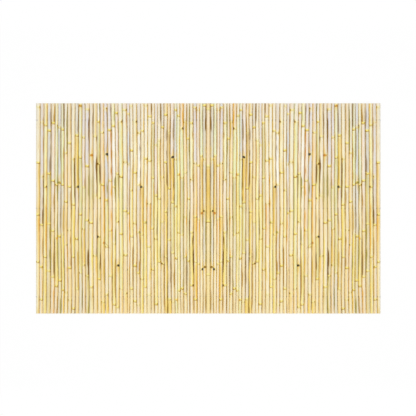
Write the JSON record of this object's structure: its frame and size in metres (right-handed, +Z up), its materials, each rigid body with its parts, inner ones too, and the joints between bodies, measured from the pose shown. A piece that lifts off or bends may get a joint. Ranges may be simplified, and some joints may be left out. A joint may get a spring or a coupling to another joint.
{
  "type": "bamboo cane fence",
  "caption": "Garden fence of hollow bamboo canes lying side by side, threaded on galvanized wires, unrolled and flat.",
  "frame": {"origin": "on the floor under the middle of the fence as it lies flat", "axes": "+X along the fence and its wires, +Y along the canes from foot to head, +Z up from the floor"},
  "size_m": [2.4632, 1.5002, 0.0331],
  "materials": {
    "bamboo": "satin",
    "galvanized_wire": "satin"
  },
  "bodies": {
    "root": {"foot_wire": "galvanized_wire", "head_wire": "galvanized_wire", "left_canes_01_02": "bamboo", "left_canes_03_04": "bamboo", "left_canes_05_06": "bamboo", "left_canes_07_08": "bamboo", "left_canes_09_10": "bamboo", "left_canes_11_12": "bamboo", "left_canes_13_14": "bamboo", "left_canes_15_16": "bamboo", "left_canes_17_18": "bamboo", "left_canes_19_20": "bamboo", "left_canes_21_22": "bamboo", "left_canes_23_24": "bamboo", "left_canes_25_26": "bamboo", "left_canes_27_28": "bamboo", "left_canes_29_30": "bamboo", "left_canes_31_32": "bamboo", "left_canes_33_34": "bamboo", "left_canes_35_36": "bamboo", "left_canes_37_38": "bamboo", "left_canes_39_40": "bamboo", "left_canes_41_42": "bamboo", "left_canes_43_44": "bamboo", "left_canes_45_46": "bamboo", "left_canes_47_48": "bamboo", "middle_canes": "bamboo", "middle_wire": "galvanized_wire", "right_canes_01_02": "bamboo", "right_canes_03_04": "bamboo", "right_canes_05_06": "bamboo", "right_canes_07_08": "bamboo", "right_canes_09_10": "bamboo", "right_canes_11_12": "bamboo", "right_canes_13_14": "bamboo", "right_canes_15_16": "bamboo", "right_canes_17_18": "bamboo", "right_canes_19_20": "bamboo", "right_canes_21_22": "bamboo", "right_canes_23_24": "bamboo", "right_canes_25_26": "bamboo", "right_canes_27_28": "bamboo", "right_canes_29_30": "bamboo", "right_canes_31_32": "bamboo", "right_canes_33_34": "bamboo", "right_canes_35_36": "bamboo", "right_canes_37_38": "bamboo", "right_canes_39_40": "bamboo", "right_canes_41_42": "bamboo", "right_canes_43_44": "bamboo", "right_canes_45_46": "bamboo", "right_canes_47_48": "bamboo"}
  },
  "joints": []
}
